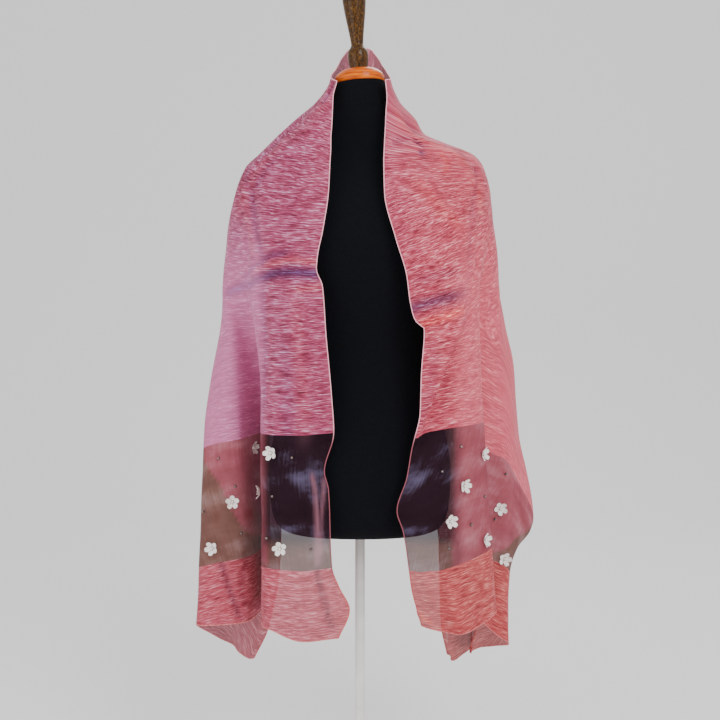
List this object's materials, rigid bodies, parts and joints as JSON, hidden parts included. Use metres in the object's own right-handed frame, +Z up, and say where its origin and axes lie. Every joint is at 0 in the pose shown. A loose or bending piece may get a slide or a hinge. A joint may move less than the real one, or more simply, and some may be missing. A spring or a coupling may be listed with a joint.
{
  "type": "sheer scarf on a dress form",
  "caption": "Long sheer scarf with see-through flowered bands, worn open over a limbless dress form on a pole and round base.",
  "frame": {"origin": "centre of the stand's underside, on the dress form's upright axis", "axes": "+Z up along the form's axis, +X to the viewer's right as the scarf's open front is seen, +Y towards the back"},
  "size_m": [0.5573, 0.3, 1.3728],
  "materials": {
    "woven_field": "semi-sheer pink slub weave with fine crosswise streaks",
    "organza": "see-through taupe organza",
    "end_band": "coral slub weave",
    "flower_fabric": "ivory fabric petals",
    "black_cover": "matt black stretch cover",
    "varnished_wood": "orange-brown gloss varnish",
    "dark_wood": "dark brown speckled stain",
    "stand_metal": "pale satin paint"
  },
  "bodies": {
    "root": {"form_torso": "black_cover", "neck_cap": "varnished_wood", "finial": "dark_wood", "stand_pole": "stand_metal", "stand_base": "stand_metal", "field_back": "woven_field", "field_left_front": "woven_field", "field_left_rear": "woven_field", "field_right_rear": "woven_field", "field_right_front": "woven_field", "organza_left": "organza", "organza_right": "organza", "end_band_left": "end_band", "end_band_right": "end_band", "flower_left_1": "flower_fabric", "flower_left_2": "flower_fabric", "flower_left_3": "flower_fabric", "flower_left_4": "flower_fabric", "flower_left_5": "flower_fabric", "flower_left_6": "flower_fabric", "flower_left_7": "flower_fabric", "flower_left_8": "flower_fabric", "flower_left_9": "flower_fabric", "flower_right_1": "flower_fabric", "flower_right_2": "flower_fabric", "flower_right_3": "flower_fabric", "flower_right_4": "flower_fabric", "flower_right_5": "flower_fabric", "flower_right_6": "flower_fabric", "flower_right_7": "flower_fabric"}
  },
  "joints": []
}
